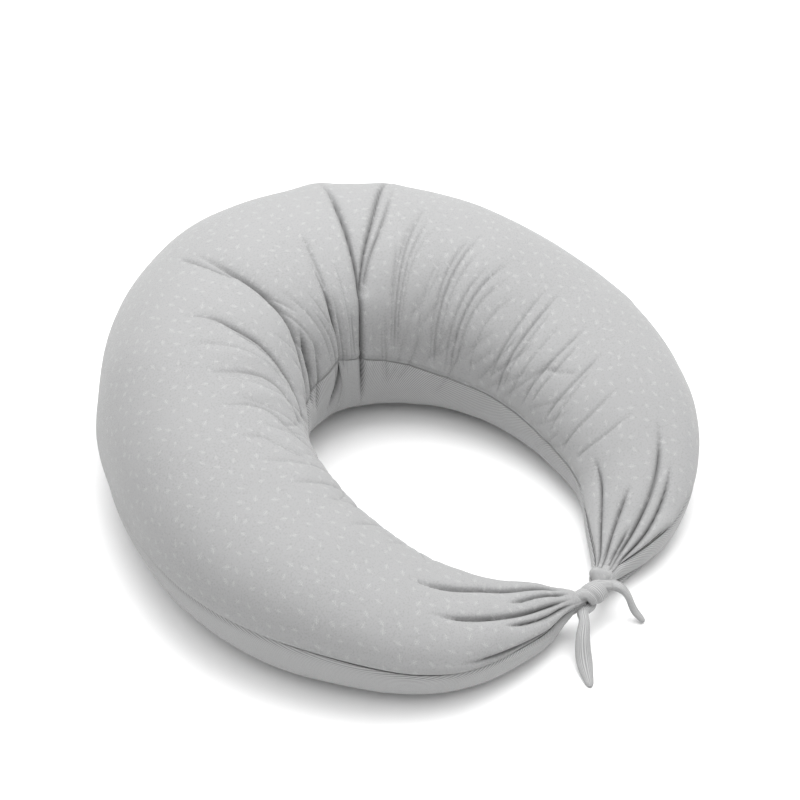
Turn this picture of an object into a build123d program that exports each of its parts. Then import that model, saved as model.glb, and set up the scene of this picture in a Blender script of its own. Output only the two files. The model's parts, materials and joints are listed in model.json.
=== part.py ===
from build123d import *
from math import cos, hypot, pi, radians, sin, tan
import os

# A crescent nursing pillow whose two ends are drawn together and tied, so that it makes a ring.
# Millimetres. +Z is up, the pillow rests on z = 0, the knot is towards -Y and the thick middle
# of the crescent towards +Y.

# ---- driving dimensions: the cushion ------------------------------------------------------

# Plan of the centreline, one half, from the thick middle to the neck beside the knot.
CENTRELINE = [(0, 285), (155, 212), (221, 110), (245, -3), (222, -116), (160, -204), (100, -240),
              (54, -260), (26, -273)]
# At each of those stations: half the cushion's width on the left arm and on the right arm,
# its height, how far its underside is lifted off the ground, and the height of the seam on
# the outer side and round the central hole.
HALF_WIDTH_LEFT = [152, 130, 118, 113, 100, 81, 57, 35, 14]
HALF_WIDTH_RIGHT = [152, 138, 128, 118, 99, 69, 47, 23, 14]
HEIGHT_LEFT = [248, 234, 207, 179, 145, 103, 80, 67, 28]
HEIGHT_RIGHT = [248, 244, 217, 174, 139, 91, 66, 48, 28]
LIFT = [0, 0, 0, 0, 0, 0, 0, 4, 28]
OUTER_SEAM = [86, 86, 86, 86, 80, 55, 47, 40, 42]
INNER_SEAM = [134, 113, 93, 83, 67, 53, 42, 38, 42]
CROWN_POWER = 2.25         # superellipse power of the top half of a section
BELLY_POWER = 2.4          # and of its lower half
QUARTER_STEPS = 4          # points that each quarter of a section's outline is drawn through
FLAT_SHARE = 0.35          # share of the width that lies flat on the ground
GROUND_CUT = 0.4           # the underside is made this much too low, then cut level
BEYOND = 1000              # longer than the whole pillow, for boxes that cut right across it

CLOTH = 1.2                # thickness of the two cover panels
SEAM_GAP = 0.4             # from the seam line to each panel's edge
LINER_CLEARANCE = 10       # from the cover's outside to the inner cushion, at the sides
LINER_CLEARANCE_TOP = 2.4  # and at the crown and the underside
LINER_CLOTH = 0.8
FILL_GAP = 0.6             # between the liner and the filling
LINER_END = (64, -210)     # the inner cushion stops short of this box round the necks

# ---- driving dimensions: the zip in the outer seam -------------------------------------------

ZIP_CENTRE = (-80, 13)     # centre of the arc that the outer seam follows there, in plan
ZIP_RADIUS = 439.0         # radius of the middle of the tape, about 4.5 inside the cover's wall
ZIP_START, ZIP_END = -4, 49    # degrees from +X, closed end and open end
ZIP_HEIGHT = 86
COIL_GAP = 1.2             # between the two coils
COIL_WIDTH = 2.4
COIL_THICK = 2.2
TAPE_THICK = 0.6
TAPE_EDGE = 16             # from the middle of the zip to the tape's sewn edge
SLOT_PAST = 3.6            # degrees of open slot past the open end, room for the puller
TAPE_END = 1.2             # degrees of tape past each end of the slot
SLOT_HALF = 5.4            # half the height of the opening between the panels
SLOT_DEPTH = 13.8          # how far the opening is cut each way from the middle of the tape
STOP_LENGTH = 0.5          # degrees of arc taken by an end stop
STOP_GAP = 0.05            # degrees of arc between a stop and the coils
SLIDER_LENGTH = 1.5        # degrees of arc taken by the slider
SLIDER_HALF = 4.6
PLATE_NEAR, PLATE_FAR = 1.5, 2.7    # a slider plate's two faces, from the middle of the tape
LIP_NEAR = 0.75
LIP_START = 3.4
POST_HALF = 0.25
POST_LENGTH = 0.4
BAIL_RISE = 2.8            # the bail stands this far off the slider's outer plate
BAIL_LENGTH = 4.4
BAIL_HALF = 1.2
BAIL_HOLE = 0.9
BAIL_ROUND = 0.93
PULL_PIN = 0.6
PULL_LENGTH = 26
PULL_HALF = 3.0
PULL_THICK = 1.0
PULL_ROUND = 2.7
PULL_EYE = (19.5, 1.5)     # the hole near the puller's free end: distance from the pin, radius
PULL_GAP = 1.6             # half the clear width between the puller's two arms

# ---- driving dimensions: the knot and its ties -----------------------------------------------

KNOT = (0, -284, 44)       # middle of the knot
KNOT_REACH = 16            # half the length of the twisted part
TWIST_RADIUS = 8.8         # from the knot's axis to the middle of each tie
TWIST_STEPS = 8
TIE_RADIUS = 6
TIE_START = (46, 18, -4)   # where a tie starts inside its neck, from the middle of the knot
TIE_MOUTH = (30, 10, 0)    # and where it comes out of the neck
TIE_LEAD = 9               # a tie runs level along its tail's heading from here before the root
BEND_SHARE = 0.45          # share of the shorter run that each of a tie's bends takes
TAIL_THICK = 4.0
TAIL_GAP = 3               # between a tie's cut end and the tail's root
TAIL_CURVE = [(0, 0), (0.25, 0.16), (0.55, 0.66), (1, 1)]    # shares of its reach and its fall
TAIL_BROAD = 0.55          # share of the reach where a tail is broadest
# Each tie's free tail, by the side its tie comes from: where it hinges out of the knot, which
# way it heads in plan, how far it reaches, how far it falls and how wide it is.
TAILS = {
    -1: {"root": (29, -299, 45), "heading": -55, "reach": 34, "fall": 46, "widths": (10, 12, 9)},
    1: {"root": (-29, -298, 36), "heading": -130, "reach": 74, "fall": 37, "widths": (11, 17, 12)},
}

# ---- driving dimensions: the care label inside the cover, below the zip ---------------------

LABEL_TURN = (46, 50)      # degrees of arc that the care label takes
LABEL_DROP = (10, 30)      # below the middle of the zip
LABEL_DEPTH = (1.0, 1.4)   # behind the middle of the tape


def section_frame(side, index):
    """Plan centre of a station and the unit vector across it, pointing out of the ring."""
    points = [(side * x, y) for x, y in CENTRELINE]
    before = points[index - 1] if index else (-points[1][0], points[1][1])
    after = points[index + 1] if index + 1 < len(points) else (side * -KNOT[0], KNOT[1])
    along = (after[0] - before[0], after[1] - before[1])
    length = hypot(*along)
    return points[index], (-side * along[1] / length, side * along[0] / length)


def stations():
    """Every station from the left neck round to the right neck, as dictionaries of sizes."""
    found = []
    last = len(CENTRELINE) - 1
    for side, order in ((-1, range(last, 0, -1)), (1, range(last + 1))):
        widths = HALF_WIDTH_LEFT if side < 0 else HALF_WIDTH_RIGHT
        heights = HEIGHT_LEFT if side < 0 else HEIGHT_RIGHT
        for i in order:
            centre, across = section_frame(side, i)
            found.append({"centre": centre, "across": across, "width": widths[i],
                          "top": LIFT[i] + heights[i], "low": LIFT[i],
                          "outer": OUTER_SEAM[i], "inner": INNER_SEAM[i]})
    return found


def place(station, across, height):
    x, y = station["centre"]
    return (x + station["across"][0] * across, y + station["across"][1] * across, height)


def quarter(power):
    """Points of a unit superellipse quarter, from (1, 0) to (0, 1)."""
    turns = [pi / 2 * i / QUARTER_STEPS for i in range(QUARTER_STEPS + 1)]
    return [(max(cos(t), 0) ** (2 / power), sin(t) ** (2 / power)) for t in turns]


def side_curve(station, sign, half_width, flat, seam, apex, power):
    """One side of a section: upright at its seam, level where it reaches the apex height."""
    points = [place(station, sign * (flat + (half_width - flat) * a), seam + (apex - seam) * b)
              for a, b in quarter(power)]
    rise = 1 if apex > seam else -1
    level = (-sign * station["across"][0], -sign * station["across"][1], 0)
    return points, [(0, 0, rise), level]


def both_sides(station, half_width, flat, seams, apex, power):
    """The outer side's curve down to the apex and the inner side's curve back to its seam."""
    points, ends = side_curve(station, 1, half_width, flat, seams[0], apex, power)
    outer_side = Spline(*points, tangents=ends)
    points, ends = side_curve(station, -1, half_width, flat, seams[1], apex, power)
    back = [tuple(-v for v in ends[1]), tuple(-v for v in ends[0])]
    return outer_side, Spline(*points[::-1], tangents=back)


def crown(station, inset, inset_top):
    """Curve over the top, from the outer seam to the seam round the hole."""
    seams = station["outer"] + SEAM_GAP, station["inner"] + SEAM_GAP
    return list(both_sides(station, station["width"] - inset, 0, seams,
                           station["top"] - inset_top, CROWN_POWER))


def belly(station, inset, inset_low):
    """Curve under the cushion, from the outer seam to the seam round the hole."""
    half_width = station["width"] - inset
    low = station["low"] - GROUND_CUT + inset_low
    flat = half_width * FLAT_SHARE
    seams = station["outer"] - SEAM_GAP, station["inner"] - SEAM_GAP
    outer_side, inner_side = both_sides(station, half_width, flat, seams, low, BELLY_POWER)
    return [outer_side, Line(outer_side @ 1, inner_side @ 0), inner_side]


def panel(curve, inset, inset_high, cloth):
    """A thin sewn panel: the space between one curve and the same curve a cloth further in."""
    faces = []
    for station in stations():
        outside = curve(station, inset, inset_high)
        inside = curve(station, inset + cloth, inset_high + cloth)
        rims = [Line(outside[0] @ 0, inside[0] @ 0), Line(outside[-1] @ 1, inside[-1] @ 1)]
        faces.append(Face(Wire(outside + inside + rims)))
    return loft(faces)


def core(inset, inset_high):
    """A whole cushion section, lofted: crown and belly share one seam line."""
    faces = []
    for station in stations():
        over, under = crown(station, inset, inset_high), belly(station, inset, inset_high)
        rims = [Line(over[0] @ 0, under[0] @ 0), Line(over[-1] @ 1, under[-1] @ 1)]
        faces.append(Face(Wire(over + under + rims)))
    return loft(faces)


def arc_bar(near, far, low, high, start, finish):
    """A bar of rectangular section bent round the zip's centre. near and far are measured
    outwards from the middle of the tape, low and high from the middle of the zip."""
    profile = Plane.XZ * Pos(ZIP_RADIUS + (near + far) / 2, (low + high) / 2)
    bar = revolve(profile * Rectangle(far - near, high - low), Axis.Z, finish - start)
    return Pos(*ZIP_CENTRE, ZIP_HEIGHT) * Rot(0, 0, start) * bar


def zip_pieces():
    first_coil = COIL_GAP / 2
    tape_start = first_coil + COIL_WIDTH
    half_coil, half_tape = COIL_THICK / 2, TAPE_THICK / 2
    pieces, top_stops = {}, []
    for name, sign in (("upper", 1), ("lower", -1)):
        coil = sorted((sign * first_coil, sign * tape_start))
        tape = sorted((sign * tape_start, sign * TAPE_EDGE))
        pieces["zip_coil_" + name] = arc_bar(-half_coil, half_coil, *coil, ZIP_START, ZIP_END)
        pieces["zip_tape_" + name] = arc_bar(
            -half_tape, half_tape, *tape, ZIP_START - TAPE_END, ZIP_END + SLOT_PAST + TAPE_END)
        top_stops.append(
            arc_bar(-half_coil, half_coil, *coil, ZIP_START - STOP_LENGTH, ZIP_START - STOP_GAP))
    pieces["zip_top_stops"] = Compound(children=top_stops)
    pieces["zip_bottom_stop"] = arc_bar(
        -half_coil, half_coil, -tape_start, tape_start, ZIP_END + STOP_GAP, ZIP_END + STOP_LENGTH)
    return pieces


def slider_frame():
    """Where the slider stands at rest, at the closed end: +X out of the cushion, +Y along."""
    middle = ZIP_START + SLIDER_LENGTH / 2 + STOP_LENGTH
    return Pos(*ZIP_CENTRE, ZIP_HEIGHT) * Rot(0, 0, middle) * Pos(ZIP_RADIUS, 0, 0), middle


def pull_axis_depth():
    return PLATE_FAR + BAIL_RISE / 2


def zip_slider():
    frame, middle = slider_frame()
    start, finish = middle - SLIDER_LENGTH / 2, middle + SLIDER_LENGTH / 2
    body = None
    for sign in (1, -1):
        plate = arc_bar(*sorted((sign * PLATE_NEAR, sign * PLATE_FAR)), -SLIDER_HALF, SLIDER_HALF,
                        start, finish)
        body = plate if body is None else body + plate
        for lip in ((LIP_START, SLIDER_HALF), (-SLIDER_HALF, -LIP_START)):
            body += arc_bar(*sorted((sign * LIP_NEAR, sign * (PLATE_NEAR + POST_HALF))), *lip,
                            start, finish)
    body += arc_bar(-PLATE_FAR, PLATE_FAR, -POST_HALF, POST_HALF, middle, middle + POST_LENGTH)
    bail = Pos(pull_axis_depth(), 0, 0) * Box(BAIL_RISE + POST_HALF, BAIL_LENGTH, 2 * BAIL_HALF)
    bail = fillet(bail.edges().filter_by(Axis.Z).group_by(Axis.X)[-1], BAIL_ROUND)
    hole = Pos(pull_axis_depth(), 0, 0) * Cylinder(BAIL_HOLE, 4 * BAIL_HALF)
    return body + frame * (bail - hole)


def zip_puller():
    """A flat pull with two arms and a cross pin that runs through the slider's bail."""
    frame, _ = slider_frame()
    arm_reach = BAIL_LENGTH / 2 + BAIL_HOLE
    blade = Pos(0, PULL_LENGTH / 2, 0) * Box(PULL_THICK, PULL_LENGTH, 2 * PULL_HALF)
    blade = fillet(blade.edges().filter_by(Axis.X).group_by(Axis.Y)[-1], PULL_ROUND)
    blade -= Box(2 * PULL_THICK, 2 * arm_reach, 2 * PULL_GAP)
    eye_place, eye_radius = PULL_EYE
    blade -= Pos(0, eye_place, 0) * Rot(0, 90, 0) * Cylinder(eye_radius, 2 * PULL_THICK)
    pin = Cylinder(PULL_PIN, 2 * PULL_HALF)
    return frame * Pos(pull_axis_depth(), 0, 0) * (blade + pin)


def tie_route(side):
    """Middle of a tie: out of its neck, one whole turn round the other tie, and out again."""
    x, y, z = KNOT
    phase = pi / 2 if side < 0 else -pi / 2
    route = [(side * dx, y + dy, z + dz) for dx, dy, dz in (TIE_START, TIE_MOUTH)]
    for i in range(TWIST_STEPS + 1):
        share = i / TWIST_STEPS
        turn = phase - side * 2 * pi * share
        route.append((x + side * KNOT_REACH * (1 - 2 * share), y + TWIST_RADIUS * cos(turn),
                      z + TWIST_RADIUS * sin(turn)))
    root = Vector(*TAILS[side]["root"])
    for before_root in (TIE_LEAD, TAIL_GAP):
        route.append(tuple(root - tail_direction(side) * before_root))
    return route


def tail_direction(side):
    """Level unit vector along a tail, away from the knot."""
    return Vector(1, 0, 0).rotate(Axis.Z, TAILS[side]["heading"])


def tie(side):
    route = tie_route(side)
    radii = []
    for a, b, c in zip(route, route[1:], route[2:]):
        before, after = Vector(*b) - Vector(*a), Vector(*c) - Vector(*b)
        turn = radians(before.get_angle(after))
        radii.append(BEND_SHARE * min(before.length, after.length) / tan(turn / 2))
    path = FilletPolyline(*route, radius=radii)
    return sweep(Plane(path @ 0, z_dir=path % 0) * Circle(TIE_RADIUS), path)


def tail(side):
    """A flat strap that leaves the knot level, falls, and ends with its tip on the ground."""
    size = TAILS[side]
    reach, fall = size["reach"], size["fall"] - TAIL_THICK
    middle = [(a * reach, -b * fall) for a, b in TAIL_CURVE]
    half = TAIL_THICK / 2
    upper = Spline(*[(x, z + half) for x, z in middle])
    lower = Spline(*[(x, z - half) for x, z in middle])
    tip = Line(upper @ 1, lower @ 1)
    root = Line(upper @ 0, lower @ 0)
    side_view = Plane.XZ * Face(Wire([upper, tip, lower, root]))
    first, broad, last = (width / 2 for width in size["widths"])
    edges = [Spline((0, sign * first), (TAIL_BROAD * reach, sign * broad), (reach - last, sign * last))
             for sign in (1, -1)]
    nose = ThreePointArc(edges[0] @ 1, (reach, 0), edges[1] @ 1)
    plan = Face(Wire(edges + [nose, Line(edges[0] @ 0, edges[1] @ 0)]))
    strap = extrude(side_view, size["widths"][1], both=True)
    strap &= extrude(plan, size["fall"] + TAIL_THICK, both=True)
    return Pos(*size["root"]) * Rot(0, 0, size["heading"]) * strap


def cover():
    """The two cover panels, with the zip's opening between them and a level underside."""
    top = panel(crown, 0, 0, CLOTH)
    bottom = panel(belly, 0, 0, CLOTH + GROUND_CUT)
    slot = arc_bar(-SLOT_DEPTH, SLOT_DEPTH, -SLOT_HALF, SLOT_HALF,
                   ZIP_START - STOP_LENGTH, ZIP_END + SLOT_PAST)
    ground = Pos(0, 0, -CLOTH) * Box(BEYOND, BEYOND, 2 * CLOTH)
    return top - slot, bottom - slot - ground


def build():
    pieces = {}
    pieces["cover_top_panel"], pieces["cover_bottom_panel"] = cover()
    liner = (LINER_CLEARANCE, LINER_CLEARANCE_TOP, LINER_CLOTH)
    fill_inset = LINER_CLOTH + FILL_GAP
    filling = core(LINER_CLEARANCE + fill_inset, LINER_CLEARANCE_TOP + fill_inset)
    half_wide, back = LINER_END
    necks = Pos(0, back + KNOT[1], 0) * Box(2 * half_wide, -2 * KNOT[1], BEYOND)
    pieces["liner_top_panel"] = panel(crown, *liner) - necks
    pieces["liner_bottom_panel"] = panel(belly, *liner) - necks
    pieces["filling"] = filling - necks
    pieces.update(zip_pieces())
    pieces["zip_slider"] = zip_slider()
    pieces["zip_puller"] = zip_puller()
    pieces["care_label"] = arc_bar(-LABEL_DEPTH[1], -LABEL_DEPTH[0], -LABEL_DROP[1], -LABEL_DROP[0],
                                   *LABEL_TURN)
    for name, side in (("left", -1), ("right", 1)):
        pieces["tie_" + name] = tie(side)
        pieces["tie_%s_tail" % name] = tail(side)
    return pieces


def centred(pieces):
    """Moves everything so that the middle of the whole outline is above the origin."""
    boxes = [piece.bounding_box() for piece in pieces.values()]
    middle_x = (min(box.min.X for box in boxes) + max(box.max.X for box in boxes)) / 2
    middle_y = (min(box.min.Y for box in boxes) + max(box.max.Y for box in boxes)) / 2
    shift = Pos(-middle_x, -middle_y, 0)
    return {name: shift * piece for name, piece in pieces.items()}, shift


parts, centring = centred(build())
os.makedirs("parts", exist_ok=True)
for name, piece in parts.items():
    export_step(piece, "parts/%s.step" % name)
print("moved to the middle by", centring.position)
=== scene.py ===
import bpy
import json
import math
import numpy as np
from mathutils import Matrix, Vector


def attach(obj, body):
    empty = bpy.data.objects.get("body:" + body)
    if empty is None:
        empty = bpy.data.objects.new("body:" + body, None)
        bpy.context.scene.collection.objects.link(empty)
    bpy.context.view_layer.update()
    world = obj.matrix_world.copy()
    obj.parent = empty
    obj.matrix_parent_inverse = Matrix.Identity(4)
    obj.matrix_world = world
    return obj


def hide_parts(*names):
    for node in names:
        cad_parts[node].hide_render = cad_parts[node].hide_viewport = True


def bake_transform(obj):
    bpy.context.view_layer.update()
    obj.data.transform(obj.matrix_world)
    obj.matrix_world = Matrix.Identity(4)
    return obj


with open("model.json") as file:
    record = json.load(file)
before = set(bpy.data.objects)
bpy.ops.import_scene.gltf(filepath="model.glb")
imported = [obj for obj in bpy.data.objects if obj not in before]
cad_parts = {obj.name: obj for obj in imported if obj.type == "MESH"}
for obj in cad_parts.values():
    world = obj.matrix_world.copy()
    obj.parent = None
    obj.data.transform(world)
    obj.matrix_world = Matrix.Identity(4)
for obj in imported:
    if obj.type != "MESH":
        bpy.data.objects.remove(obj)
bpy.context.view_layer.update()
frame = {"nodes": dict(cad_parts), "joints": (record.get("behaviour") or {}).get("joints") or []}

# ---------------------------------------------------------------- the cushion's own sizes, in metres
RING_CENTRE = np.array((-0.0030, -0.0405))     # where the ring's own centre lies in the frame
# stations from the thick middle to the neck: plan of the centreline, then the sizes there
PLAN = 0.001 * np.array([(0, 285), (155, 212), (221, 110), (245, -3), (222, -116), (160, -204),
                         (100, -240), (54, -260), (26, -273)])
HALF_WIDTH = {-1: (152, 130, 118, 113, 100, 81, 57, 35, 14), 1: (152, 138, 128, 118, 99, 69, 47, 23, 14)}
HEIGHT = {-1: (248, 234, 207, 179, 145, 103, 80, 67, 28), 1: (248, 244, 217, 174, 139, 91, 66, 48, 28)}
LIFT = (0, 0, 0, 0, 0, 0, 0, 4, 28)
OUTER_SEAM = (86, 86, 86, 86, 80, 55, 47, 40, 42)
INNER_SEAM = (134, 113, 93, 83, 67, 53, 42, 38, 42)
CROWN_POWER, BELLY_POWER, FLAT_SHARE = 2.25, 2.4, 0.35

COLUMNS = 980            # round the ring, from neck to neck
TOP_ROWS = 100           # across the upper panel, from the outer seam to the seam at the hole
LOW_ROWS = 70            # across the lower panel, back to the outer seam


# ---------------------------------------------------------------- curves
def natural(x, y, q):
    """Natural cubic spline through (x, y), at q. y may have several columns."""
    x, y = np.asarray(x, float), np.asarray(y, float)
    h = np.diff(x)
    n = len(x)
    m = np.eye(n)
    r = np.zeros((n,) + y.shape[1:])
    slope = (np.diff(y, axis=0).T / h).T
    for i in range(1, n - 1):
        m[i, i - 1:i + 2] = h[i - 1], 2 * (h[i - 1] + h[i]), h[i]
        r[i] = 6 * (slope[i] - slope[i - 1])
    bend = np.linalg.solve(m, r)
    k = np.clip(np.searchsorted(x, q) - 1, 0, n - 2)
    a, b, w = x[k + 1] - q, q - x[k], h[k]
    if y.ndim > 1:
        a, b, w = a[:, None], b[:, None], w[:, None]
    return (bend[k] * a ** 3 + bend[k + 1] * b ** 3) / (6 * w) + (y[k] / w - bend[k] * w / 6) * a \
        + (y[k + 1] / w - bend[k + 1] * w / 6) * b


def monotone(x, y, q):
    """Smooth curve through (x, y) that never overshoots a value, at q."""
    x, y = np.asarray(x, float), np.asarray(y, float)
    h, d = np.diff(x), np.diff(y) / np.diff(x)
    slope = np.zeros_like(y)
    same = d[:-1] * d[1:] > 0
    w1, w2 = 2 * h[1:] + h[:-1], h[1:] + 2 * h[:-1]
    with np.errstate(divide="ignore", invalid="ignore"):
        mean = (w1 + w2) / (w1 / d[:-1] + w2 / d[1:])
    slope[1:-1] = np.where(same, mean, 0)
    slope[0], slope[-1] = d[0], d[-1]
    k = np.clip(np.searchsorted(x, q) - 1, 0, len(x) - 2)
    t = (q - x[k]) / h[k]
    return (y[k] * (1 + 2 * t) * (1 - t) ** 2 + slope[k] * h[k] * t * (1 - t) ** 2
            + y[k + 1] * t * t * (3 - 2 * t) + slope[k + 1] * h[k] * t * t * (t - 1))


def ease(low, high, x):
    t = np.clip((x - low) / (high - low), 0, 1)
    return t * t * (3 - 2 * t)


# ---------------------------------------------------------------- the ring, before its creases
def station_table():
    """Distance along the tube of every station, and the sizes there, left neck to right neck."""
    plan = np.vstack([PLAN[:0:-1] * (-1, 1), PLAN])
    chord = np.concatenate([[0], np.cumsum(np.linalg.norm(np.diff(plan, axis=0), axis=1))])
    fine = natural(chord, plan, np.linspace(0, chord[-1], 4001))
    run = np.concatenate([[0], np.cumsum(np.linalg.norm(np.diff(fine, axis=0), axis=1))])
    along = np.interp(chord, np.linspace(0, chord[-1], 4001), run) - run[-1] / 2

    def both(left, right):
        return 0.001 * np.array(left[:0:-1] + right, float)

    table = {"width": both(HALF_WIDTH[-1], HALF_WIDTH[1]), "height": both(HEIGHT[-1], HEIGHT[1])}
    for name, values in (("lift", LIFT), ("outer", OUTER_SEAM), ("inner", INNER_SEAM)):
        table[name] = both(values, values)
    return along, plan, table


ALONG, STATION_PLAN, SIZES = station_table()
REACH = ALONG[-1]        # from the middle of the tube to a neck


def seam_gap(along):
    """Half the opening between the two panels at the outer seam: wide only where the zip is."""
    start, end = ZIP_SPAN
    return 0.0003 + (ZIP_SLOT - 0.0003) * ease(start - 0.012, start, along) * ease(end + 0.012, end, along)


ZIP_SLOT = 0.0052
ZIP_SPAN = (0.132, 0.428)


def ring_frame(along):
    """Plan centre and outward unit vector at each distance along the tube."""
    step = 0.002
    q = np.clip(along, -REACH + step, REACH - step)
    centre = natural(ALONG, STATION_PLAN, along)
    tangent = natural(ALONG, STATION_PLAN, q + step) - natural(ALONG, STATION_PLAN, q - step)
    tangent /= np.linalg.norm(tangent, axis=1)[:, None]
    return centre + RING_CENTRE, np.stack([-tangent[:, 1], tangent[:, 0]], -1)


def quarter(power, count=60):
    t = np.linspace(0, math.pi / 2, count)
    return np.cos(t) ** (2 / power), np.sin(t) ** (2 / power)


def evenly(points, count):
    """The same curve with count points at even spacing. points is (n, 2)."""
    run = np.concatenate([[0], np.cumsum(np.linalg.norm(np.diff(points, axis=0), axis=1))])
    q = np.linspace(0, run[-1], count)
    return np.stack([np.interp(q, run, points[:, 0]), np.interp(q, run, points[:, 1])], -1), run[-1]


def base_surface(along, top_rows, low_rows):
    """Smooth cushion surface: positions (columns, rows, 3) of the upper panel from the outer seam
    over the crown to the hole, then of the lower one from the hole back, and each one's girth."""
    centre, out = ring_frame(along)
    size = {name: monotone(ALONG, values, along) for name, values in SIZES.items()}
    gap = seam_gap(along)
    cu, su = quarter(CROWN_POWER)
    cb, sb = quarter(BELLY_POWER)
    upper = np.zeros((len(along), top_rows, 3))
    lower = np.zeros((len(along), low_rows, 3))
    girth = np.zeros((len(along), 2))
    for i in range(len(along)):
        w, low = size["width"][i], size["lift"][i]
        high = low + size["height"][i]
        seams = size["outer"][i] + gap[i], size["inner"][i] + 0.0003
        across = np.concatenate([w * cu, -w * cu[-2::-1]])
        outer_rise, inner_rise = (seam + (high - seam) * su for seam in seams[:2])
        rise = np.concatenate([outer_rise, inner_rise[-2::-1]])
        line, girth[i, 0] = evenly(np.stack([across, rise], -1), top_rows)
        upper[i, :, :2] = centre[i] + out[i] * line[:, :1]
        upper[i, :, 2] = line[:, 1]
        seams = size["outer"][i] - gap[i], size["inner"][i] - 0.0003
        flat = w * FLAT_SHARE
        across = np.concatenate([-(flat + (w - flat) * cb), (flat + (w - flat) * cb)[::-1]])
        rise = np.concatenate([seams[1] + (low - seams[1]) * sb, (seams[0] + (low - seams[0]) * sb)[::-1]])
        line, girth[i, 1] = evenly(np.stack([across, rise], -1), low_rows)
        lower[i, :, :2] = centre[i] + out[i] * line[:, :1]
        lower[i, :, 2] = line[:, 1]
    return upper, lower, girth


def column_places():
    """Distances along the tube, closer together near the necks."""
    fine = np.linspace(-REACH, REACH, 4001)
    weight = 1 + 1.2 * np.exp(-((REACH - np.abs(fine)) / 0.12) ** 2)
    run = np.concatenate([[0], np.cumsum((weight[1:] + weight[:-1]) / 2)])
    return np.interp(np.linspace(0, run[-1], COLUMNS), run, fine)


# ---------------------------------------------------------------- creases
# Each is a run of points (distance along the tube, place across it), a depth and a width in
# millimetres, and how much one bank stands above the other. Across runs from 0 at the outer seam
# over the crown to 1 at the seam round the hole, and on to 2 under the cushion.
FOLDS = [
    ([(-.060, .41), (-.073, .53), (-.089, .655), (-.110, .755), (-.134, .825), (-.160, .90), (-.190, 1.0),
      (-.215, 1.12)], 14, 2.3, 3.5),
    ([(-.069, .38), (-.080, .50), (-.087, .60)], 4, 2.4, 1.5),
    ([(-.103, .80), (-.128, .87), (-.143, .95), (-.160, 1.05)], 8, 2.2, -1.5),
    ([(-.096, .86), (-.115, .93), (-.125, 1.0), (-.135, 1.1)], 4, 2.0, -1),
    ([(-.162, .44), (-.161, .55), (-.170, .615), (-.180, .68), (-.196, .745), (-.222, .82), (-.255, .91),
      (-.275, 1.0)], 6.5, 2.4, 2.0),
    ([(-.175, .60), (-.186, .67), (-.203, .74), (-.23, .82)], 4, 2, 1),
    ([(-.205, .46), (-.202, .56), (-.208, .66), (-.222, .75), (-.25, .84)], 2, 3, .6),
    ([(-.245, .50), (-.244, .61), (-.247, .72), (-.262, .79), (-.290, .86), (-.32, .96)], 3.6, 3, 1.2),
    ([(-.294, .50), (-.295, .61), (-.305, .69), (-.330, .75), (-.360, .83), (-.385, .93)], 3, 3, 1),
    ([(-.339, .52), (-.347, .615), (-.369, .67), (-.395, .76)], 2.2, 3, .8),
    ([(.037, .66), (.031, .78), (.024, .86), (.006, .93), (-.018, 1.0), (-.055, 1.10), (-.085, 1.16)],
     6.5, 2.2, -2),
    ([(.052, .60), (.044, .70), (.037, .80)], 3, 2.4, -1),
    ([(.048, .80), (.046, .90), (.047, 1.0), (.044, 1.03)], 3, 1.8, 1),
    ([(.100, .30), (.108, .40), (.111, .48), (.114, .585), (.118, .70), (.121, .79), (.119, .88), (.115, .98),
      (.113, 1.10), (.112, 1.22)], 10, 2.2, -2.5),
    ([(.176, .28), (.166, .38), (.155, .54), (.138, .675), (.126, .77), (.121, .83)], 9, 2.2, 2.5),
    ([(.182, .34), (.168, .55), (.152, .66), (.138, .735), (.126, .82)], 5, 2.0, 1),
    ([(.092, .84), (.093, .92), (.096, 1.0)], 3, 1.8, .5),
]
# Fine lines on the arms, most of them on the right one: where each starts and ends, and how deep it is.
LINES = [
    (.212, .5, .186, .98, 1.7), (.221, .44, .193, 1.0, 2.4), (.231, .48, .199, .98, 2.0),
    (.24, .52, .206, .9, 1.3), (.262, .6, .244, .95, .9), (.284, .48, .27, .97, 1.8),
    (.294, .46, .277, 1.0, 2.4), (.304, .52, .286, .95, 1.5), (.322, .56, .3, 1.0, 1.8),
    (.341, .5, .309, 1.0, 2.3), (.352, .56, .32, .96, 1.6), (.372, .6, .348, .98, 1.1),
    (.388, .48, .392, .97, 1.7), (.401, .45, .414, 1.0, 2.4), (.412, .52, .425, .96, 1.5),
    (.436, .55, .446, .98, 1.2), (.456, .47, .476, .97, 2.1), (.468, .52, .492, .92, 1.6),
    (.495, .48, .53, .92, 2.0), (.508, .55, .548, .95, 1.4), (.545, .5, .585, .96, 1.6),
    (.575, .46, .615, .92, 1.5), (-.238, .52, -.268, .84, 1.0), (-.276, .57, -.315, .92, 1.3),
    (-.318, .58, -.352, .96, 1.2), (-.372, .52, -.412, .9, 1.4), (-.418, .56, -.458, .97, 1.7),
    (-.456, .62, -.5, .95, 1.3), (-.505, .58, -.548, .96, 1.6), (-.552, .62, -.59, .93, 1.2),
]
# Gathers run up the tube from each neck: the place across, how far they reach and their depth.
GATHERS = {
    -1: [(.04, .150, 10), (.19, .100, 8), (.31, .175, 11), (.47, .085, 7), (.60, .200, 12), (.80, .120, 9),
         (.97, .080, 7), (1.20, .10, 8), (1.48, .08, 7), (1.76, .11, 8)],
    1: [(.03, .105, 9), (.17, .165, 11), (.33, .210, 11), (.42, .080, 6), (.58, .130, 9), (.74, .170, 10),
        (.92, .110, 9), (1.20, .10, 8), (1.48, .08, 7), (1.76, .11, 8)],
}
SMALL_WRINKLES = 70
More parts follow.
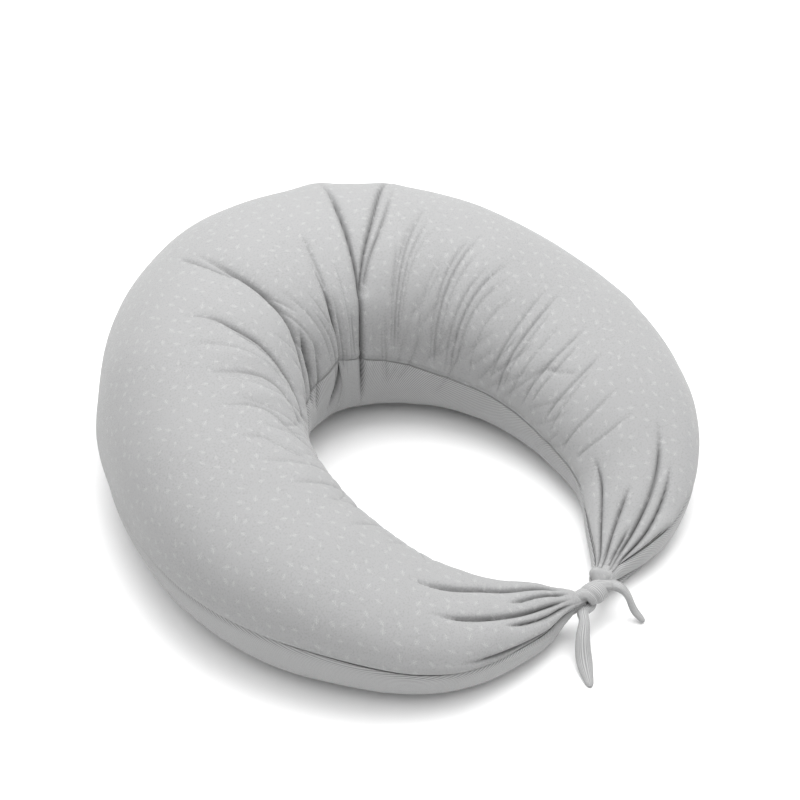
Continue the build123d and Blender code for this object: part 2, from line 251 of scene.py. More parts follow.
# Soft swells: a place along and across, its height in millimetres and its reach each way.
SWELLS = [(.104, .33, 5, .018, .10), (.172, .33, 3.5, .016, .10), (.138, .45, 2.5, .03, .2),
          (-.035, .45, 2, .04, .15), (-.135, .55, 2.5, .03, .12), (-.215, .70, 2, .012, .1),
          (-.275, .72, 2, .012, .1), (.075, .85, 2, .02, .1)]


def line_folds():
    folds = []
    for start, low, end, high, depth in LINES:
        bow = 0.008 * (1 if end > start else -1)
        points = [(start + (end - start) * t + bow * math.sin(math.pi * t), low + (high - low) * t)
                  for t in (0, .25, .5, .75, 1)]
        folds.append((points, 1.45 * depth, 1.6, .3 * depth))
    return folds


def gather_folds(side):
    """The gathers as creases that spread from the neck and die out along the arm."""
    folds = []
    for across, reach, depth in GATHERS[side]:
        drift = 0.6 * math.sin(9 * across) * reach
        points = [(side * (REACH - reach * share), across + drift * share ** 2)
                  for share in (0.0, .15, .35, .6, 1.0)]
        folds.append((points, depth, 1.9, .16 * depth))
    return folds


def small_folds(count, seed):
    """Fine wrinkles on the hole's side of the arms, where the bent cloth is too long."""
    draw = np.random.default_rng(seed)
    folds = []
    for i in range(count):
        start = -0.64 + 1.24 * (i + draw.uniform(-.4, .4)) / count
        low = draw.uniform(.62, .88)
        high = min(low + draw.uniform(.12, .34), 1.1)
        lean = draw.uniform(-.008, .008) - 0.05 * np.sign(start) * (abs(start) > .2)
        points = [(start + lean * t ** 2, low + (high - low) * t) for t in (0, .35, .7, 1)]
        folds.append((points, draw.uniform(.8, 2.4), draw.uniform(1.3, 2.3), .4))
    return folds


def crease_field(points, normals, along, across, folds):
    """How far each surface point moves along its normal for all the folds together, and how
    much painted shade its colour gets from lying deep in a fold, from 0 to 1."""
    move = np.zeros(points.shape[:2])
    inside = np.zeros(points.shape[:2])
    for spine, depth, width, step_up in folds:
        spine = np.array(spine)
        t = np.linspace(0, 1, len(spine))
        fine = natural(t, spine, np.linspace(0, 1, 60))
        i = np.clip(np.interp(fine[:, 0], along, np.arange(len(along))), 0, len(along) - 1.001)
        j = np.clip(np.interp(fine[:, 1], across, np.arange(len(across))), 0, len(across) - 1.001)
        line = blended(points, i, j)
        reach = 0.001 * width * 20
        block = np.where((along > fine[:, 0].min() - 2 * reach) & (along < fine[:, 0].max() + 2 * reach))[0]
        if not len(block):
            continue
        low, high = line.min(0) - reach, line.max(0) + reach
        part = points[block]
        ci, cj = np.where(((part > low) & (part < high)).all(2))
        if not len(ci):
            continue
        p = part[ci, cj]
        k = nearest(p, line)
        share = k / (len(line) - 1)
        q = np.clip(k, 1, len(line) - 2)
        step = line[q + 1] - line[q - 1]
        step /= np.linalg.norm(step, axis=1)[:, None] + 1e-12
        off = p - line[k]
        off -= step * ((off * step).sum(1) * ((k > 0) & (k < len(line) - 1)))[:, None]
        side = np.sign((np.cross(step, normals[block[ci], cj]) * off).sum(1))
        x = np.linalg.norm(off, axis=1) / (0.001 * width)
        fade = np.minimum(ease(0, .30, share), ease(0, .18, 1 - share))
        valley = -0.62 * np.exp(-x) - 0.38 * np.exp(-x / 5)
        bank = side * np.exp(-x / 5) * (1 - np.exp(-x * 1.5))
        move[block[ci], cj] += 0.001 * fade * (depth * valley + 0.5 * step_up * bank)
        # painted shade: darkens the cloth's colour along the deep valley of each fold, where shade falls
        crease_shade = fade * min(depth / 6, 1) ** 1.5 * np.exp(-x * 1.1)
        inside[block[ci], cj] = np.maximum(inside[block[ci], cj], crease_shade)
    return move, inside


def nearest(points, line):
    """Index of the line's nearest point to each of the points."""
    return ((line ** 2).sum(1)[None] - 2 * points @ line.T).argmin(1)


def blended(grid, i, j):
    """Grid values at fractional places i, j."""
    i0, j0 = i.astype(int), j.astype(int)
    fi, fj = (i - i0)[:, None], (j - j0)[:, None]
    return (grid[i0, j0] * (1 - fi) * (1 - fj) + grid[i0 + 1, j0] * fi * (1 - fj)
            + grid[i0, j0 + 1] * (1 - fi) * fj + grid[i0 + 1, j0 + 1] * fi * fj)


def normals_of(points):
    """Unit normals of a grid, out of the cushion."""
    n = np.cross(np.gradient(points, axis=0), np.gradient(points, axis=1))
    n /= np.linalg.norm(n, axis=2, keepdims=True) + 1e-12
    middle = points.mean(1, keepdims=True)
    return n * np.sign(((points - middle) * n).sum(2).mean())


def soft_noise(shape, cells, seed):
    """Smooth random field from about -1 to 1, with so many cells each way."""
    coarse = np.random.default_rng(seed).uniform(-1, 1, (cells[0] + 3, cells[1] + 3))
    x = np.linspace(0, cells[0], shape[0], endpoint=False)
    y = np.linspace(0, cells[1], shape[1], endpoint=False)

    def weights(t):
        return [(1 - t) ** 3 / 6, (3 * t ** 3 - 6 * t ** 2 + 4) / 6, (-3 * t ** 3 + 3 * t ** 2 + 3 * t + 1) / 6,
                t ** 3 / 6]
    wx, wy = weights(x % 1), weights(y % 1)
    ix, iy = x.astype(int), y.astype(int)
    field = np.zeros(shape)
    for a in range(4):
        for b in range(4):
            field += np.outer(wx[a], wy[b]) * coarse[np.ix_(ix + a, iy + b)]
    return field * 1.6


# ---------------------------------------------------------------- making meshes
def grid_mesh(name, points, uv, wrap=False, marks=None, caps=False):
    """A mesh of quads from a grid of points, with a uv map in metres and point attributes."""
    rows, cols = points.shape[:2]
    index = np.arange(rows * cols).reshape(rows, cols)
    right = np.roll(index, -1, 1) if wrap else index[:, 1:]
    left = index if wrap else index[:, :-1]
    quads = np.stack([left[:-1], left[1:], right[1:], right[:-1]], -1).reshape(-1, 4)
    faces = quads.tolist()
    corners = uv_corners(uv, quads, wrap, cols)
    if caps:
        faces += [index[0].tolist(), index[-1][::-1].tolist()]
        corners = np.concatenate([corners, uv[0, :cols], uv[-1, :cols][::-1]])
    mesh = bpy.data.meshes.new(name)
    mesh.from_pydata(points.reshape(-1, 3).tolist(), [], faces)
    mesh.uv_layers.new(name="cloth").data.foreach_set("uv", corners.reshape(-1).astype(float))
    mesh.polygons.foreach_set("use_smooth", [True] * len(faces))
    for mark, values in (marks or {}).items():
        layer = mesh.attributes.new(mark, "FLOAT", "POINT")
        layer.data.foreach_set("value", values.reshape(-1).astype(float))
    mesh.update()
    piece = bpy.data.objects.new(name, mesh)
    bpy.context.collection.objects.link(piece)
    return piece


def uv_corners(uv, quads, wrap, cols):
    """uv has one column more than the points where the grid wraps round."""
    if not wrap:
        return uv.reshape(-1, 2)[quads.reshape(-1)]
    i, j = quads[:, 0] // cols, quads[:, 0] % cols
    return np.stack([uv[i, j], uv[i + 1, j], uv[i + 1, j + 1], uv[i, j + 1]], 1).reshape(-1, 2)


def flat_pattern(along, girth, across):
    """Where each point lay in the flat crescent that the panel was cut from."""
    sideways = (0.5 - across)[None, :] * girth[:, None]
    turn = along[:, None] / PATTERN_BEND
    return np.stack([(PATTERN_BEND + sideways) * np.sin(turn), (PATTERN_BEND + sideways) * np.cos(turn)], -1)


PATTERN_BEND = 0.40      # radius of the flat crescent's middle line
NECK_STEPS = 12          # extra columns that draw each neck in to the knot
NECK_END = np.array([0.0125, -0.3235, 0.044])    # where a neck's cloth enters the knot, right side
NECK_SHARE = 0.42        # how much narrower it is there


def neck_cone(points, side):
    """Columns that carry the gathered end of an arm on into the knot."""
    last = points[-1] if side > 0 else points[0]
    centre = last.mean(0)
    goal = NECK_END * (side, 1, 1) + (RING_CENTRE[0], 0, 0)
    steps = []
    for i in range(1, NECK_STEPS + 1):
        t = i / NECK_STEPS
        size = 1 + (NECK_SHARE - 1) * ease(0, 1, t)
        steps.append(centre + (goal - centre) * t + (last - centre) * size)
    return np.array(steps) if side > 0 else np.array(steps[::-1])


def cover_surface():
    """The cushion's outside with every crease in it, and what its materials need to know."""
    along = column_places()
    upper, lower, girth = base_surface(along, TOP_ROWS, LOW_ROWS)
    points = np.concatenate([upper, lower], 1)
    across = np.concatenate([np.linspace(0, 1, TOP_ROWS), np.linspace(1, 2, LOW_ROWS)])
    across[TOP_ROWS] += 1e-6
    normals = normals_of(points)
    folds = FOLDS + line_folds() + gather_folds(-1) + gather_folds(1) + small_folds(SMALL_WRINKLES, 4)
    move, inside = crease_field(points, normals, along, across, folds)
    calm = ease(0.02, 0.12, REACH - np.abs(along))[:, None]
    move += 0.0016 * calm * soft_noise(move.shape, (26, 7), 7) \
        + 0.0006 * calm * soft_noise(move.shape, (90, 20), 8)
    for place, row, height, reach, spread in SWELLS:
        move += 0.001 * height * np.exp(-((along - place) / reach) ** 2)[:, None] \
            * np.exp(-((across - row) / spread) ** 2)[None, :]
    move *= np.clip(points[..., 2] / 0.02, 0, 1)
    half = monotone(ALONG, SIZES["width"], along)[:, None]
    move = np.clip(move, -np.minimum(0.018, 0.42 * half), 0.006)
    surface = points + normals * move[..., None]
    surface[..., 2] = np.maximum(surface[..., 2], 0.0006)
    seam_work(surface, normals)
    edge = seam_distance(surface)
    ends = neck_cone(surface, -1), neck_cone(surface, 1)
    surface = np.concatenate([ends[0], surface, ends[1]])
    run = np.linspace(0.03, 0.03 / NECK_STEPS, NECK_STEPS)
    along = np.concatenate([along[0] - run, along, along[-1] + run[::-1]])
    grow = ((NECK_STEPS, NECK_STEPS), (0, 0))
    return {"points": surface, "normals": np.pad(normals, grow + ((0, 0),), mode="edge"), "along": along,
            "girth": np.pad(girth, grow, mode="edge"), "inside": np.pad(inside, grow, mode="edge"),
            "edge": np.pad(edge, grow, mode="edge")}


def seam_distance(points):
    """Distance of every point from the nearest edge of its panel, measured over the cloth."""
    found = []
    for block in (points[:, :TOP_ROWS], points[:, TOP_ROWS:]):
        run = np.pad(np.cumsum(np.linalg.norm(np.diff(block, axis=1), axis=2), 1), ((0, 0), (1, 0)))
        found.append(np.minimum(run, run[:, -1:] - run))
    return np.concatenate(found, 1)


# At each edge of a panel: its rows, whether the seam is at the first of them, how deep the cloth
# turns in and how far it stands proud beside the seam, in millimetres.
SEAMS = ((slice(0, 16), True, 3.2, 2.6), (slice(TOP_ROWS - 14, TOP_ROWS), False, 1.6, 1.0),
         (slice(TOP_ROWS, TOP_ROWS + 12), True, 1.2, 0), (slice(-12, None), False, 2.6, 0))


def seam_work(points, normals):
    """Turns the cloth in at both seams, and lets the upper panel stand a little proud of them."""
    for rows, first, depth, proud in SEAMS:
        block = points[:, rows]
        edge = block[:, 0] if first else block[:, -1]
        d = np.linalg.norm(block - edge[:, None], axis=2)
        fade = np.clip(1 - d / 0.03, 0, 1)
        lift = -0.001 * depth * np.exp(-(d / 0.0024) ** 1.3) \
            + 0.001 * proud * np.exp(-((d - 0.010) / 0.007) ** 2) * fade
        points[:, rows] += normals[:, rows] * lift[..., None]


def cover_panels(cloth):
    pieces = []
    for name, rows, side, lanes in (("cover_top", slice(0, TOP_ROWS), 0, np.linspace(0, 1, TOP_ROWS)),
                                    ("cover_bottom", slice(TOP_ROWS, None), 1, np.linspace(1, 0, LOW_ROWS))):
        uv = flat_pattern(cloth["along"], cloth["girth"][:, side], lanes)
        # the painted crease shade and each point's distance from the seams go to the materials
        marks = {"painted_shade": cloth["inside"][:, rows], "edge": cloth["edge"][:, rows]}
        pieces.append(grid_mesh(name, cloth["points"][:, rows], uv, marks=marks))
    return pieces


LINER_DEPTH = 0.0085     # how far the lining and the filling lie inside the cover
FILLING_DEPTH = 0.0125


def inner_cushion(cloth):
    """The lining and the filling, each a smooth offset of the outside."""
    pieces = []
    keep = np.abs(cloth["along"]) < REACH - 0.05
    for name, depth, columns, rows in (("liner_top", LINER_DEPTH, 3, slice(0, TOP_ROWS, 3)),
                                       ("liner_bottom", LINER_DEPTH, 3, slice(TOP_ROWS, None, 3)),
                                       ("filling_mass", FILLING_DEPTH, 6, slice(0, None, 5))):
        points = (cloth["points"] - depth * cloth["normals"])[keep][::columns, rows]
        points[..., 2] = np.maximum(points[..., 2], depth * 0.25)
        shape = points.shape[:2]
        places = np.arange(shape[0]) * .004, np.arange(shape[1] + 1) * .006
        uv = np.stack(np.meshgrid(*places, indexing="ij"), -1)
        whole = name == "filling_mass"
        pieces.append(grid_mesh(name, points, uv if whole else uv[:, :-1], wrap=whole, caps=whole))
    return pieces


# ---------------------------------------------------------------- the knot and its tails
KNOT = np.array((-0.0030, -0.3245, 0.044))
# In the knot, by the side that a strap comes from: how far its middle is from the knot's axis,
# half the length that it winds along, its half width and its half thickness.
TWIST = {-1: (.0062, .0100, .0070, .0056), 1: (.0094, .0080, .0100, .0044)}
TAIL_CURVE = ((0, 0), (.25, .16), (.55, .66), (1, 1))      # shares of a tail's reach and its fall
TAIL_START = 0.008          # a tail's cloth starts this far inside the knot
# Each tail by the side its strap comes from: heading in degrees, reach and fall in metres, half
# widths at the root, the middle and near the tip, and how far its middle bows sideways.
TAILS = {-1: {"heading": -68, "reach": .034, "fall": .0430, "half": (.0056, .0062, .0050), "bow": .001},
         1: {"heading": -130, "reach": .074, "fall": .0345, "half": (.0060, .0094, .0056), "bow": -.004}}
STRAP_SIDES = 40
STRAP_RINGS = 230


def tail_joint(side):
    name = "left_tail_swing" if side < 0 else "right_tail_swing"
    joint = next(j for j in frame["joints"] if j["name"] == name)
    return np.array(joint["pos_m"])


def strap_stations(side):
    """Points down the middle of a strap with the way its flat face looks, its half width and
    half thickness there: out of the neck, once round the other strap, and down its tail."""
    radius, reach, half, thick = TWIST[side]
    found = [(KNOT + (side * .044, .018, -.004), (0, 0, -side), .0050, .0050),
             (KNOT + (side * .028, .009, -.001), (0, 0, -side), .0062, .0060)]
    for i in range(9):
        share = i / 8
        turn = -side * math.pi / 2 - side * 2 * math.pi * share
        out = np.array((0, math.cos(turn), math.sin(turn)))
        place = KNOT + (side * reach * (1 - 2 * share), 0, 0) + out * radius
        found.append((place, out, half, thick))
    tail, root = TAILS[side], tail_joint(side)
    heading = math.radians(tail["heading"])
    ahead = np.array((math.cos(heading), math.sin(heading), 0))
    aside = np.array((-ahead[1], ahead[0], 0))
    found.append((root - ahead * .009, (0, 0, -side), .0070, .0046))
    widths = monotone((0, .6, .92, 1), tail["half"] + (.004,), np.array((0, .25, .55, 1)))
    for (a, b), half in zip(TAIL_CURVE, widths):
        bow = tail["bow"] * math.sin(math.pi * a)
        up = np.array((0, 0, 1)) + ahead * 1.1 * math.sin(math.pi * min(a + .12, 1)) * (b < 1)
        found.append((root + ahead * tail["reach"] * a - (0, 0, tail["fall"] * b) + aside * bow, -side * up,
                      half, .0040 if a == 0 else .0017))
    return found


def strap(side, names):
    """The strap as one grid of rings, cut where its tail begins."""
    stations = strap_stations(side)
    knots = np.array([s[0] for s in stations])
    run = np.concatenate([[0], np.cumsum(np.linalg.norm(np.diff(knots, axis=0), axis=1))])
    q = np.linspace(0, run[-1], STRAP_RINGS)
    middle = natural(run, knots, q)
    face = np.stack([monotone(run, [s[1][k] for s in stations], q) for k in range(3)], -1)
    wide, thick = (monotone(run, [s[k] for s in stations], q) for k in (2, 3))
    along = np.gradient(middle, axis=0)
    along /= np.linalg.norm(along, axis=1)[:, None]
    face -= along * (face * along).sum(1)[:, None]
    face /= np.linalg.norm(face, axis=1)[:, None]
    across = np.cross(along, face)
    left = np.clip((run[-1] - q) / (wide[-1] * 1.6), 0, 1)
    wide = wide * np.sqrt(np.maximum(1 - (1 - left) ** 2, .0004))
    turn = np.linspace(0, 2 * math.pi, STRAP_SIDES, endpoint=False)
    flat = ease(run[-5], run[-4], q)[:, None]          # 0 in the rolled strap, 1 in the flat tail
    power = 2 / (2.5 + .5 * flat)
    c = np.sign(np.cos(turn)) * np.abs(np.cos(turn)) ** power
    s = np.sign(np.sin(turn)) * np.abs(np.sin(turn)) ** power
    rough = soft_noise((STRAP_RINGS, STRAP_SIDES), (26, 6), 30 + side)
    rough = rough * (.5 - .5 * np.cos(turn))[None, :]
    pleat = .05 * np.sin(5 * turn + 1.5 * np.sin(q[:, None] * 70)) + .10 * rough
    body = 1 + pleat * (1 - flat)
    down_tail = np.clip((q - run[-4]) / (run[-1] - run[-4]), 0, 1)
    cup = flat * .0022 * (1 - c ** 2) * np.sin(down_tail * math.pi)[:, None]
    hem = 1 + .18 * flat * np.exp(-((np.abs(c) - .82) / .10) ** 2)
    points = middle[:, None] + across[:, None] * (c * body * wide[:, None])[..., None] \
        + face[:, None] * (s * body * hem * thick[:, None] - side * cup)[..., None]
    points[..., 2] = np.maximum(points[..., 2], .0007)
    around = np.linspace(0, 2 * math.pi, STRAP_SIDES + 1) * .0115
    uv = np.stack(np.meshgrid(q, around, indexing="ij")[::-1], -1)
    cut = int(np.searchsorted(q, run[-4] - TAIL_START))
    tie = grid_mesh(names[0], points[:cut + 1], uv[:cut + 1], wrap=True, caps=True)
    tail = grid_mesh(names[1], points[cut:], uv[cut:], wrap=True, caps=True)
    return tie, tail


# ---------------------------------------------------------------- the zip
ZIP_RADIUS = 0.439
ZIP_START, ZIP_END = -4.0, 49.0      # degrees of arc
COIL_PITCH = 0.00135
COIL_WIRE = 0.00034


def tubes(name, paths, radius, sides=6):
    """One mesh of round tubes with closed ends, each along its own run of points."""
    turn = np.linspace(0, 2 * math.pi, sides, endpoint=False)
    verts, faces = [], []
    for path in paths:
        along = np.gradient(path, axis=0)
        along /= np.linalg.norm(along, axis=1)[:, None] + 1e-12
        helper = np.array((0, 0, 1.0)) if abs(along[:, 2]).max() < .9 else np.array((0.31, .87, .38))
        one = np.cross(along, helper)
        one /= np.linalg.norm(one, axis=1)[:, None] + 1e-12
        two = np.cross(along, one)
        rings = path[:, None] + radius * (one[:, None] * np.cos(turn)[None, :, None]
                                          + two[:, None] * np.sin(turn)[None, :, None])
        first = sum(len(v) for v in verts)
        verts.append(rings.reshape(-1, 3))
        index = first + np.arange(len(path) * sides).reshape(len(path), sides)
        nxt = np.roll(index, -1, 1)
        faces += np.stack([index[:-1], nxt[:-1], nxt[1:], index[1:]], -1).reshape(-1, 4).tolist()
        faces += [index[0][::-1].tolist(), index[-1].tolist()]
    mesh = bpy.data.meshes.new(name)
    mesh.from_pydata(np.concatenate(verts).tolist(), [], faces)
    mesh.polygons.foreach_set("use_smooth", [True] * len(faces))
    mesh.update()
    piece = bpy.data.objects.new(name, mesh)
    bpy.context.collection.objects.link(piece)
    return piece


def zip_coil(name, sign):
    """A nylon coil: a flattened helix whose loops reach just over the middle of the zip."""
    centre = np.array(next(j for j in frame["joints"] if j["name"] == "zip_slide")["pos_m"])
    length = math.radians(ZIP_END - ZIP_START) * ZIP_RADIUS
    turns = length / COIL_PITCH
    t = np.linspace(0, turns, int(turns * 12))
    phase = 2 * math.pi * t + (0 if sign > 0 else math.pi)
    bearing = math.radians(ZIP_START) + t * COIL_PITCH / ZIP_RADIUS
    depth = ZIP_RADIUS + .00072 * np.sin(phase)
    rise = sign * (.00145 - .00135 * np.cos(phase))
    path = centre + np.stack([depth * np.cos(bearing), depth * np.sin(bearing), rise], -1)
    return tubes(name, [path], COIL_WIRE, 5)


def stitches(name, surface, normals, rows, columns, length=.0026, gap=.0012, radius=.00028):
    """A row of machine stitches in the cloth, along one row of the grid."""
    line, out = surface[columns, rows], normals[columns, rows]
    run = np.concatenate([[0], np.cumsum(np.linalg.norm(np.diff(line, axis=0), axis=1))])
    paths = []
    for start in np.arange(.002, run[-1] - length, length + gap):
        q = start + length * np.array((0, .15, .5, .85, 1))
        p = np.stack([np.interp(q, run, line[:, k]) for k in range(3)], -1)
        n = np.stack([np.interp(q, run, out[:, k]) for k in range(3)], -1)
        paths.append(p + n * (.001 * np.array((-.35, .15, .3, .15, -.35)))[:, None])
    return tubes(name, paths, radius, 6)


# ---------------------------------------------------------------- materials
def maths(tree, operation, *values):
    node = tree.nodes.new("ShaderNodeMath")
    node.operation = operation
    for socket, value in zip(node.inputs, values):
        if isinstance(value, (int, float)):
            socket.default_value = value
        else:
            tree.links.new(value, socket)
    return node.outputs[0]


def mix_colour(tree, share, first, second):
    node = tree.nodes.new("ShaderNodeMix")
    node.data_type = "RGBA"
    for socket, value in ((node.inputs[0], share), (node.inputs[6], first), (node.inputs[7], second)):
        if isinstance(value, bpy.types.NodeSocket):
            tree.links.new(value, socket)
        else:
            socket.default_value = value if isinstance(value, float) else (*value, 1)
    return node.outputs[2]


def grain(tree, scale, detail=2.0):
    noise = tree.nodes.new("ShaderNodeTexNoise")
    noise.inputs["Scale"].default_value = scale
    noise.inputs["Detail"].default_value = detail
    place = tree.nodes.new("ShaderNodeTexCoord")
    tree.links.new(place.outputs["Object"], noise.inputs["Vector"])
    return noise.outputs["Fac"]


def attribute(tree, name):
    node = tree.nodes.new("ShaderNodeAttribute")
    node.attribute_name = name
    return node.outputs["Fac"]


def cloth_place(tree):
    uv = tree.nodes.new("ShaderNodeUVMap")
    uv.uv_map = "cloth"
    return uv.outputs[0]


def split(tree, vector):
    node = tree.nodes.new("ShaderNodeSeparateXYZ")
    tree.links.new(vector, node.inputs[0])
    return node.outputs


def basic(name, colour, roughness, sheen=0.0, metallic=0.0):
    made = bpy.data.materials.new(name)
    made.use_nodes = True
    shader = made.node_tree.nodes["Principled BSDF"]
    shader.inputs["Base Color"].default_value = (*colour, 1)
    shader.inputs["Roughness"].default_value = roughness
    shader.inputs["Metallic"].default_value = metallic
    shader.inputs["Sheen Weight"].default_value = sheen
    shader.inputs["Sheen Roughness"].default_value = 0.5
    shader.inputs["Specular IOR Level"].default_value = 0.3
    return made, made.node_tree, shader


def bump(tree, shader, height, distance, strength=1.0):
    node = tree.nodes.new("ShaderNodeBump")
    node.inputs["Distance"].default_value = distance
    node.inputs["Strength"].default_value = strength
    tree.links.new(height, node.inputs["Height"])
    tree.links.new(node.outputs[0], shader.inputs["Normal"])


def weave(tree, x, y, pitch):
    """Height of a plain weave: threads over and under each other."""
    a = maths(tree, "SINE", maths(tree, "MULTIPLY", x, 2 * math.pi / pitch))
    b = maths(tree, "SINE", maths(tree, "MULTIPLY", y, 2 * math.pi / pitch))
    return maths(tree, "MULTIPLY_ADD", maths(tree, "MULTIPLY", a, b), 0.5, 0.5)


def leaf(tree, u, w, centre, lean, long, wide):
    """1 on the drawn outline of a leaf, in millimetres round centre, 0 elsewhere."""
    du, dw = maths(tree, "SUBTRACT", u, centre[0]), maths(tree, "SUBTRACT", w, centre[1])
    c, s = math.cos(lean), math.sin(lean)
    p = maths(tree, "ADD", maths(tree, "MULTIPLY", du, c / long), maths(tree, "MULTIPLY", dw, s / long))
    q = maths(tree, "ADD", maths(tree, "MULTIPLY", du, -s / wide), maths(tree, "MULTIPLY", dw, c / wide))
    r = maths(tree, "SQRT", maths(tree, "ADD", maths(tree, "MULTIPLY", p, p), maths(tree, "MULTIPLY", q, q)))
    return maths(tree, "COMPARE", r, 0.86, 0.16)


def sprigs(tree, place, spacing):
    """Small leafy sprigs drawn in outline, scattered and turned every way."""
    scaled = tree.nodes.new("ShaderNodeVectorMath")
    scaled.operation = "SCALE"
    scaled.inputs["Scale"].default_value = 1 / spacing
    tree.links.new(place, scaled.inputs[0])
    cells = tree.nodes.new("ShaderNodeTexVoronoi")
    cells.voronoi_dimensions = "2D"
    cells.inputs["Scale"].default_value = 1
    cells.inputs["Randomness"].default_value = 0.55
    tree.links.new(scaled.outputs[0], cells.inputs["Vector"])
    offset = tree.nodes.new("ShaderNodeVectorMath")
    offset.operation = "SUBTRACT"
    tree.links.new(scaled.outputs[0], offset.inputs[0])
    tree.links.new(cells.outputs["Position"], offset.inputs[1])
    x, y, _ = split(tree, offset.outputs[0])
    draw = split(tree, cells.outputs["Color"])
    angle = maths(tree, "MULTIPLY", draw[0], 2 * math.pi)
    size = maths(tree, "MULTIPLY_ADD", draw[1], 350 * spacing, 850 * spacing)
    c, s = maths(tree, "COSINE", angle), maths(tree, "SINE", angle)
    u = maths(tree, "ADD", maths(tree, "MULTIPLY", x, c), maths(tree, "MULTIPLY", y, s))
    w = maths(tree, "SUBTRACT", maths(tree, "MULTIPLY", y, c), maths(tree, "MULTIPLY", x, s))
    u, w = maths(tree, "MULTIPLY", u, size), maths(tree, "ABSOLUTE", maths(tree, "MULTIPLY", w, size))
    drawn = maths(tree, "MULTIPLY", maths(tree, "LESS_THAN", w, 0.22), maths(tree, "COMPARE", u, -0.8, 3.0))
    for parts in (((-1.0, 1.25), .75, 1.35, .68), ((1.1, 1.15), .65, 1.2, .60), ((3.2, 0), 0, 1.4, .70)):
        drawn = maths(tree, "MAXIMUM", drawn, leaf(tree, u, w, *parts))
    return drawn


def print_cotton():
    made, tree, shader = basic("print_cotton", GREY, 0.88, sheen=0.25)
    place = cloth_place(tree)
    x, y, _ = split(tree, place)
    tone = maths(tree, "MULTIPLY_ADD", grain(tree, 9), 0.10, 0.95)
    tone = maths(tree, "MULTIPLY", tone, maths(tree, "MULTIPLY_ADD", grain(tree, 480, 4), 0.60, 0.70))
    hem = maths(tree, "LESS_THAN", attribute(tree, "edge"), 0.009)
    tone = maths(tree, "MULTIPLY", tone, maths(tree, "MULTIPLY_ADD", hem, -0.07, 1))
    # painted shade: the colour darkens by up to 78% deep in the creases, where shade falls
    tone = maths(tree, "MULTIPLY", tone, maths(tree, "MULTIPLY_ADD", attribute(tree, "painted_shade"), -0.78, 1))
    ground = mix_colour(tree, tone, (0, 0, 0), GREY)
    leaves = maths(tree, "MULTIPLY", sprigs(tree, place, 0.0172), 0.21)
    tree.links.new(mix_colour(tree, leaves, ground, (.66, .66, .66)), shader.inputs["Base Color"])
    bump(tree, shader, weave(tree, x, y, .0009), .00012)
    return made


def striped_cotton():
    made, tree, shader = basic("striped_cotton", GREY, 0.9, sheen=0.2)
    x, y, _ = split(tree, cloth_place(tree))
    wave = maths(tree, "SINE", maths(tree, "MULTIPLY", x, 2 * math.pi / STRIPE))
    stripe = maths(tree, "MULTIPLY_ADD", wave, 0.9, 0.45)
    stripe = maths(tree, "MINIMUM", maths(tree, "MAXIMUM", stripe, 0.0), 1.0)
    tone = maths(tree, "MULTIPLY_ADD", grain(tree, 700, 3), 0.36, 0.82)
    # painted shade: the colour darkens by up to 72% deep in the creases, where shade falls
    tone = maths(tree, "MULTIPLY", tone, maths(tree, "MULTIPLY_ADD", attribute(tree, "painted_shade"), -0.72, 1))
    colour = mix_colour(tree, stripe, STRIPE_DARK, STRIPE_LIGHT)
    tree.links.new(mix_colour(tree, tone, (0, 0, 0), colour), shader.inputs["Base Color"])
    height = maths(tree, "ADD", weave(tree, x, y, .0009), stripe)
    bump(tree, shader, height, .00012)
    return made


def plain_cloth(name, colour, pitch, roughness=0.9):
    made, tree, shader = basic(name, colour, roughness, sheen=0.2)
    place = tree.nodes.new("ShaderNodeTexCoord").outputs["Object"]
    x, y, z = split(tree, place)
    tone = maths(tree, "MULTIPLY_ADD", grain(tree, 500), 0.14, 0.93)
    tree.links.new(mix_colour(tree, tone, (0, 0, 0), colour), shader.inputs["Base Color"])
    bump(tree, shader, weave(tree, maths(tree, "ADD", x, y), z, pitch), .0002)
    return made


def hard(name, colour, roughness, metallic=0.0, coat=0.0):
    made, tree, shader = basic(name, colour, roughness, metallic=metallic)
    shader.inputs["Coat Weight"].default_value = coat
    spots = grain(tree, 1400, 3)
    tone = maths(tree, "MULTIPLY_ADD", spots, 0.16, 0.92)
    tree.links.new(mix_colour(tree, tone, (0, 0, 0), colour), shader.inputs["Base Color"])
    tree.links.new(maths(tree, "MULTIPLY_ADD", spots, 0.2, roughness - .1), shader.inputs["Roughness"])
    bump(tree, shader, spots, .00004)
    return made


GREY = (0.302, 0.303, 0.304)
STRIPE = 0.0024          # pitch of the striped cotton
STRIPE_DARK, STRIPE_LIGHT = (.255, .256, .257), (.405, .406, .407)


# ---------------------------------------------------------------- the stage
def stage():
    bpy.ops.mesh.primitive_plane_add(size=40)
    floor = bpy.context.object
    floor.name = "floor"
    floor.data.materials.append(basic("floor_paint", (.90, .90, .90), 0.95)[0])
    world = bpy.data.worlds.new("studio")
    world.use_nodes = True
    world.node_tree.nodes["Background"].inputs[0].default_value = (1, 1, 1, 1)
    world.node_tree.nodes["Background"].inputs[1].default_value = WORLD_LIGHT
    bpy.context.scene.world = world
    for name, place, size, power in LIGHTS:
        light = bpy.data.lights.new(name, "AREA")
        light.energy, light.size, light.shape = power, size, "DISK"
        lamp = bpy.data.objects.new(name, light)
        bpy.context.collection.objects.link(lamp)
        lamp.location = place
        lamp.rotation_euler = (Vector((0, 0, 0.05)) - Vector(place)).to_track_quat("-Z", "Y").to_euler()
    bpy.context.scene.view_settings.view_transform = "Standard"


WORLD_LIGHT = 0.58
LIGHTS = (("main", (0.7, 0.4, 2.9), 2.8, 78), ("overhead", (0, 0, 2.4), 4.6, 76))
CAMERA = {"azimuth": -43.9, "elevation": 43.1, "distance": 2.569, "lens": 96.9,
          "target": (-0.0400, -0.0405, 0.08), "shift": (0.0039, 0.0799)}


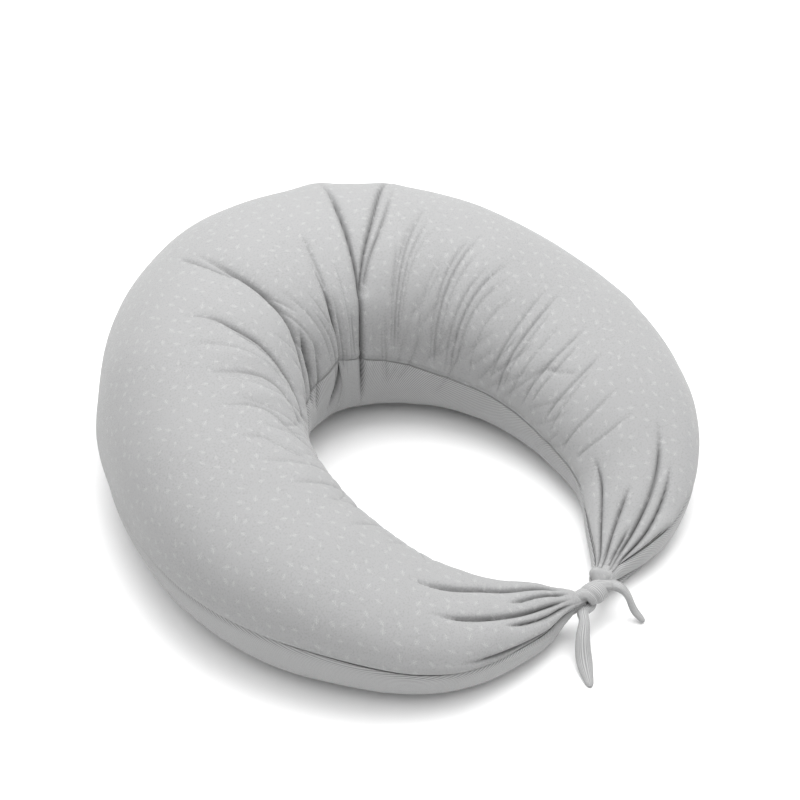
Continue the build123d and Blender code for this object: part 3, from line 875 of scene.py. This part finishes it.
def camera():
    a, e = math.radians(CAMERA["azimuth"]), math.radians(CAMERA["elevation"])
    back = Vector((math.sin(a) * math.cos(e), -math.cos(a) * math.cos(e), math.sin(e)))
    lens = bpy.data.cameras.new("camera")
    lens.lens, lens.sensor_width = CAMERA["lens"], 36
    lens.shift_x, lens.shift_y = CAMERA["shift"]
    eye = bpy.data.objects.new("camera", lens)
    bpy.context.collection.objects.link(eye)
    eye.location = Vector(CAMERA["target"]) + back * CAMERA["distance"]
    eye.rotation_euler = (-back).to_track_quat("-Z", "Y").to_euler()
    bpy.context.scene.camera = eye


# ---------------------------------------------------------------- putting it together
def finish_piece(piece, body, slot, made, *nodes):
    piece.data.materials.clear()
    piece.data.materials.append(made)
    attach(piece, body)
    if nodes:
        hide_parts(*nodes)


stage()
camera()
cloth = cover_surface()
top, low = cover_panels(cloth)
printed, striped = print_cotton(), striped_cotton()
finish_piece(top, "pillow", "print_cotton", printed, "cover_top_panel")
finish_piece(low, "pillow", "striped_cotton", striped, "cover_bottom_panel")
lining = plain_cloth("liner_cotton", (.70, .70, .67), .0011)
stuffing = plain_cloth("filling", (.80, .80, .78), .006)
inner = inner_cushion(cloth)
finish_piece(inner[0], "pillow", "liner_cotton", lining, "liner_top_panel")
finish_piece(inner[1], "pillow", "liner_cotton", lining, "liner_bottom_panel")
finish_piece(inner[2], "pillow", "filling", stuffing, "filling")

for side, name in ((-1, "left"), (1, "right")):
    tie, tail = strap(side, ("tie_%s_strap" % name, "tie_%s_end" % name))
    finish_piece(tie, "pillow", "striped_cotton", striped, "tie_" + name)
    tail.data.materials.append(striped)
    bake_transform(tail)
    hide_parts("tie_%s_tail" % name)

nylon = hard("zip_coil", (.30, .305, .31), 0.45)
metal = hard("zip_metal", (.33, .34, .35), 0.38, metallic=0.6, coat=0.3)
tape = plain_cloth("zip_tape", (.36, .365, .37), .0012)
ribbon = plain_cloth("label", (.84, .84, .82), .0006, roughness=0.55)
for name, sign in (("upper", 1), ("lower", -1)):
    finish_piece(zip_coil("zip_teeth_" + name, sign), "pillow", "zip_coil", nylon, "zip_coil_" + name)
columns = np.where((cloth["along"] > ZIP_SPAN[0] - .012) & (cloth["along"] < ZIP_SPAN[1] + .012))[0]
normals = normals_of(cloth["points"])
for name, row in (("upper", 2), ("lower", -3)):
    finish_piece(stitches("zip_stitches_" + name, cloth["points"], normals, row, columns), "pillow",
                 "striped_cotton", nylon)
for node, made in (("zip_tape_upper", tape), ("zip_tape_lower", tape), ("zip_top_stops", metal),
                   ("zip_bottom_stop", metal), ("zip_slider", metal), ("zip_puller", metal),
                   ("care_label", ribbon)):
    materials = frame["nodes"][node].data.materials
    materials.clear()
    materials.append(made)
